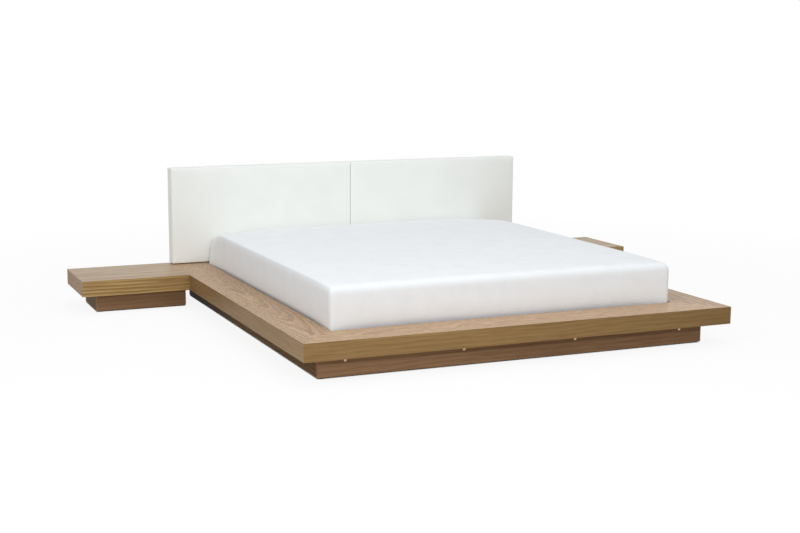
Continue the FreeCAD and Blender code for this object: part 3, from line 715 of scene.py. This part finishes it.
def cut_pocket(pad, low, high):
    """Hollow the pad out from behind and below, where its frame is."""
    points, faces = shell_of_box([low[0], high[0]], [low[1], high[1]], [low[2], high[2]])
    mesh = bpy.data.meshes.new("pocket")
    mesh.from_pydata([tuple(point) for point in points], [], faces)
    cutter = bpy.data.objects.new("pocket", mesh)
    scene.collection.objects.link(cutter)
    pocket = pad.modifiers.new("pocket", "BOOLEAN")
    pocket.operation = "DIFFERENCE"
    pocket.object = cutter
    settle(pad)
    bpy.data.objects.remove(cutter)
    bpy.data.meshes.remove(mesh)


def headboard_pads():
    hide = leather("white_leather", linear(242, 244, 240), linear(237, 239, 234))
    for side in ("left", "right"):
        low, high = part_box(f"{side}_headboard_pad")
        frame_low, frame_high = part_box(f"{side}_headboard_frame")
        # Built lying on its back: across, up the panel, and out of its front
        front = -low.y - PAD_SWELL - PAD_CROWN
        low_x, high_x = (low.x, high.x + SEAM_FILL) if side == "left" else (low.x - SEAM_FILL, high.x)
        flat_low, flat_high = (low_x, low.z, -high.y), (high_x, high.z, front)
        lines = [graded(a, b, PAD_FINE, PAD_PITCH) for a, b in zip(flat_low, flat_high)]
        box_points, faces = shell_of_box(*lines)
        points = rounded(box_points, flat_low, flat_high, PAD_CORNER, PAD_EDGE, PAD_BACK_EDGE)
        middle, half = np.add(flat_low, flat_high) / 2, np.subtract(flat_high, flat_low) / 2
        from_middle = (box_points - middle) / half
        crown = (1 - from_middle[:, 0] ** 2) * (1 - from_middle[:, 1] ** 2)
        points[:, 2] += np.where(box_points[:, 2] > front - TINY, PAD_CROWN * crown, 0)
        points = np.column_stack([points[:, 0], -points[:, 2], points[:, 1]])
        pad = new_piece(f"{side}_pad", points, faces, hide, BED)
        held = np.nonzero(box_points[:, 2] < front - PAD_EDGE)[0]
        swell(pad, held, PAD_PRESSURE, PAD_SWELL)
        pocket_low = (frame_low.x - POCKET_GAP, frame_low.y - POCKET_GAP, low.z - POCKET_PAST)
        pocket_high = (frame_high.x + POCKET_GAP, high.y + POCKET_PAST, frame_high.z + POCKET_GAP)
        cut_pocket(pad, pocket_low, pocket_high)
        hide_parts(f"{side}_headboard_pad")


def staple(place, along, steep):
    """Path of a wire staple that lies on a face, from the place of its middle."""
    half = Vector(along) * (STAPLE_WIDTH / 2)
    leg = Vector(steep) * (2 * STAPLE_RADIUS)
    place = Vector(place)
    return [place - half - leg, place - half, place, place + half, place + half - leg]


def back_covers(wire):
    """The thin black cloth stapled over the back of each headboard frame."""
    felt = woven("backing_cloth", linear(46, 46, 48), linear(32, 32, 34), FELT_PITCH, {})
    covers, paths = [], []
    for side, sign in (("left", -1), ("right", 1)):
        low, high = side_box("headboard_back_covers", sign)
        columns, levels = spread(low[0], high[0], COVER_PITCH), spread(low[2], high[2], COVER_PITCH)
        points, faces = shell_of_box(columns, [low[1], high[1]], levels)
        loose = np.clip(inset_of(points, low, high, (0, 2)) / COVER_EDGE, 0, 1)
        points[:, 1] += COVER_SLACK * loose * ripple(points, COVER_SCALES, COVER_SEED + sign)
        cover = new_piece(f"{side}_back_cover", points, faces, felt, BED)
        covers.append(cover)
        back = high[1] + STAPLE_RADIUS / 2
        for x in spread(low[0] + STAPLE_INSET, high[0] - STAPLE_INSET, STAPLE_PITCH):
            for z in (low[2] + STAPLE_INSET, high[2] - STAPLE_INSET):
                paths.append(staple((x, back, z), (1, 0, 0), (0, 1, 0)))
        for z in spread(low[2] + STAPLE_INSET, high[2] - STAPLE_INSET, STAPLE_PITCH)[1:-1]:
            for x in (low[0] + STAPLE_INSET, high[0] - STAPLE_INSET):
                paths.append(staple((x, back, z), (0, 0, 1), (0, 1, 0)))
    for cover in covers:
        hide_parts("headboard_back_covers")
    points, faces = many_tubes(paths, STAPLE_RADIUS, STAPLE_SIDES)
    new_piece("back_staples", points, faces, wire, BED)


# Straps of the slats
STRAP_COLUMN, STRAP_ROW, STRAP_SAG, WEBBING_PITCH = 8 * MM, 12 * MM, 1.5 * MM, 2.4 * MM
WEBBING_RELIEF = 0.6
PLACE_DIGITS = 4


def slat_straps(wire):
    """The webbing that spaces the slats, slack between them and stapled to each."""
    node = nodes["slats"]
    ends = np.array([(node.matrix_world @ vertex.co).y for vertex in node.data.vertices])
    ends = np.unique(np.round(ends, PLACE_DIGITS))
    breaks = np.nonzero(np.diff(ends) > STAPLE_WIDTH * 2)[0]
    starts = np.concatenate([[ends[0]], ends[breaks + 1]])
    stops = np.concatenate([ends[breaks], [ends[-1]]])
    tone, shade = linear(224, 218, 202), linear(200, 192, 172)
    webbing = woven("webbing", tone, shade, WEBBING_PITCH, {}, WEBBING_RELIEF)
    paths = []
    for side, sign in (("left", -1), ("right", 1)):
        low, high = side_box("slat_straps", sign)
        columns, rows = spread(low[0], high[0], STRAP_COLUMN), spread(low[1], high[1], STRAP_ROW)
        points, faces = shell_of_box(columns, rows, [low[2], high[2]])
        for start, stop in zip(stops[:-1], starts[1:]):
            share = np.clip((points[:, 1] - start) / (stop - start), 0, 1)
            points[:, 2] -= STRAP_SAG * np.sin(math.pi * share)
        strap = new_piece(f"{side}_strap", points, faces, webbing, BED)
        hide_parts("slat_straps")
        middle = (low[0] + high[0]) / 2
        for start, stop in zip(starts, stops):
            place = (middle, (start + stop) / 2, high[2] + STAPLE_RADIUS / 4)
            paths.append(staple(place, (1, 0, 0), (0, 0, 1)))
    points, faces = many_tubes(paths, STAPLE_RADIUS / 2, STAPLE_SIDES)
    new_piece("strap_staples", points, faces, wire, BED)


# Floor, sky and lamps, each lamp with its place, target, width and power
FLOOR_REACH, FLOOR_DROP = 60.0, 0.2 * MM
FLOOR_TONES, FLOOR_SEEN_TONE = (linear(188, 188, 188), linear(178, 178, 178)), linear(250, 250, 250)
FLOOR_WHITE_SHARE, FLOOR_FADE = 0.88, (2.0, 4.5)
SPECKLE_SCALES = (40.0, 40.0, 40.0)
SKY_STRENGTH, WHITE = 0.56, (1.0, 1.0, 1.0, 1.0)
LAMP_COLOUR = (0.955, 0.98, 1.0)
LAMPS = (
    ("key", (1.8, -6.0, 4.5), (0.0, 0.0, 0.3), 2.5, 55.0),
    ("low_front", (-1.2, -4.8, 1.68), (0.0, -1.1, 0.1), 0.2, 39.0),
    ("overhead", (0.0, -0.5, 5.0), (0.0, 0.0, 0.3), 3.0, 39.0),
    ("left", (-5.2, -3.0, 4.2), (-0.8, -0.4, 0.2), 2.0, 110.0),
)
PLINTHS = (
    [f"{place}_plinth_board" for place in ("foot", "head", "left", "right")],
    [f"left_nightstand_plinth_{face}" for face in ("front", "back", "end")],
    [f"right_nightstand_plinth_{face}" for face in ("front", "back", "end")],
)


def seen_directly(tree):
    """1 for rays from the camera, also mirrored ones and those let through, and 0 for the light's own."""
    path = add_node(tree, "ShaderNodeLightPath", {}).outputs
    seen = path["Is Camera Ray"]
    for kind in ("Is Glossy Ray", "Is Transmission Ray"):
        inputs = {0: seen, 1: path[kind]}
        seen = add_node(tree, "ShaderNodeMath", inputs, operation="MAXIMUM").outputs[0]
    return seen


def outside(look, boxes):
    """1 on the floor outside the outline of some boxes, and 0 under them."""
    parts = look.parts(look.place())
    under = 1.0
    for axis in (0, 1):
        low, high = min(box[0][axis] for box in boxes), max(box[1][axis] for box in boxes)
        away = look.math("ABSOLUTE", look.math("SUBTRACT", parts[axis], (low + high) / 2), 0.0)
        under = look.math("MULTIPLY", under, look.math("LESS_THAN", away, (high - low) / 2))
    return look.math("SUBTRACT", 1.0, under)


def lay_floor():
    """A plain floor that looks white, keeps a soft shadow and is dark under the plinths."""
    look = Look("floor", {"Roughness": 0.9})
    seen = seen_directly(look.tree)
    speckle = look.between(look.noise(look.place(), SPECKLE_SCALES, 3.0), 0.3, 0.7)
    look.link(look.mix(seen, look.mix(speckle, *FLOOR_TONES), FLOOR_SEEN_TONE), "Base Color")
    away = look.add("ShaderNodeVectorMath", {0: look.place()}, operation="LENGTH").outputs["Value"]
    share = look.math("MULTIPLY", seen, look.between(away, *FLOOR_FADE, FLOOR_WHITE_SHARE, 1.0))
    for boards in PLINTHS:
        share = look.math("MULTIPLY", share, outside(look, [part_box(name) for name in boards]))
    glow = look.add("ShaderNodeEmission", {"Strength": 1.0}).outputs[0]
    mixed = look.add("ShaderNodeMixShader", {0: share, 1: look.shader.outputs[0], 2: glow})
    output = look.tree.nodes["Material Output"]
    look.tree.links.new(mixed.outputs[0], output.inputs["Surface"])
    mesh = bpy.data.meshes.new("floor")
    turns = ((-1, -1), (1, -1), (1, 1), (-1, 1))
    corners = [(FLOOR_REACH * x, FLOOR_REACH * y, 0) for x, y in turns]
    mesh.from_pydata(corners, [], [(0, 1, 2, 3)])
    mesh.materials.append(look.material)
    floor = bpy.data.objects.new("floor", mesh)
    scene.collection.objects.link(floor)
    floor.location.z = -FLOOR_DROP


def light_sky():
    """A sky that looks white and gives an even light."""
    world = bpy.data.worlds.new("studio")
    scene.world = world
    world.use_nodes = True
    tree = world.node_tree
    tree.nodes.clear()
    inputs = {"Value": seen_directly(tree), "To Min": SKY_STRENGTH}
    strength = add_node(tree, "ShaderNodeMapRange", inputs).outputs[0]
    sky = add_node(tree, "ShaderNodeBackground", {"Color": WHITE, "Strength": strength})
    add_node(tree, "ShaderNodeOutputWorld", {"Surface": sky.outputs[0]})


def hang_lamps():
    for name, place, target, width, power in LAMPS:
        light = bpy.data.lights.new(name, "AREA")
        light.shape = "DISK"
        light.size = width
        light.energy = power
        light.color = LAMP_COLOUR
        lamp = bpy.data.objects.new(name, light)
        scene.collection.objects.link(lamp)
        lamp.location = place
        lamp.rotation_euler = (Vector(target) - Vector(place)).to_track_quat("-Z", "Y").to_euler()


# Camera: sensor and lens in millimetres, shift as a share of the picture's width, angles in degrees
SENSOR_WIDTH, LENS = 36.0, 61.16
CAMERA_SHIFT_SHARE, CAMERA_FAR = 0.0624, 200.0
CAMERA_PLACE = (-3.0375, -6.519, 1.4831)
CAMERA_TILT, CAMERA_TURN = 90 - 9.527, -21.77


def set_camera():
    data = bpy.data.cameras.new("camera")
    data.sensor_width = SENSOR_WIDTH
    data.lens = LENS
    data.shift_x = CAMERA_SHIFT_SHARE
    data.clip_end = CAMERA_FAR
    eye = bpy.data.objects.new("camera", data)
    scene.collection.objects.link(eye)
    eye.location = CAMERA_PLACE
    eye.rotation_euler = (math.radians(CAMERA_TILT), 0, math.radians(CAMERA_TURN))
    scene.camera = eye


bpy.context.view_layer.update()
dress_boards()
zinc = dress_rest()
mattress_and_sheet()
headboard_pads()
back_covers(zinc)
slat_straps(zinc)
lay_floor()
light_sky()
hang_lamps()
set_camera()
scene.view_settings.view_transform = "Standard"
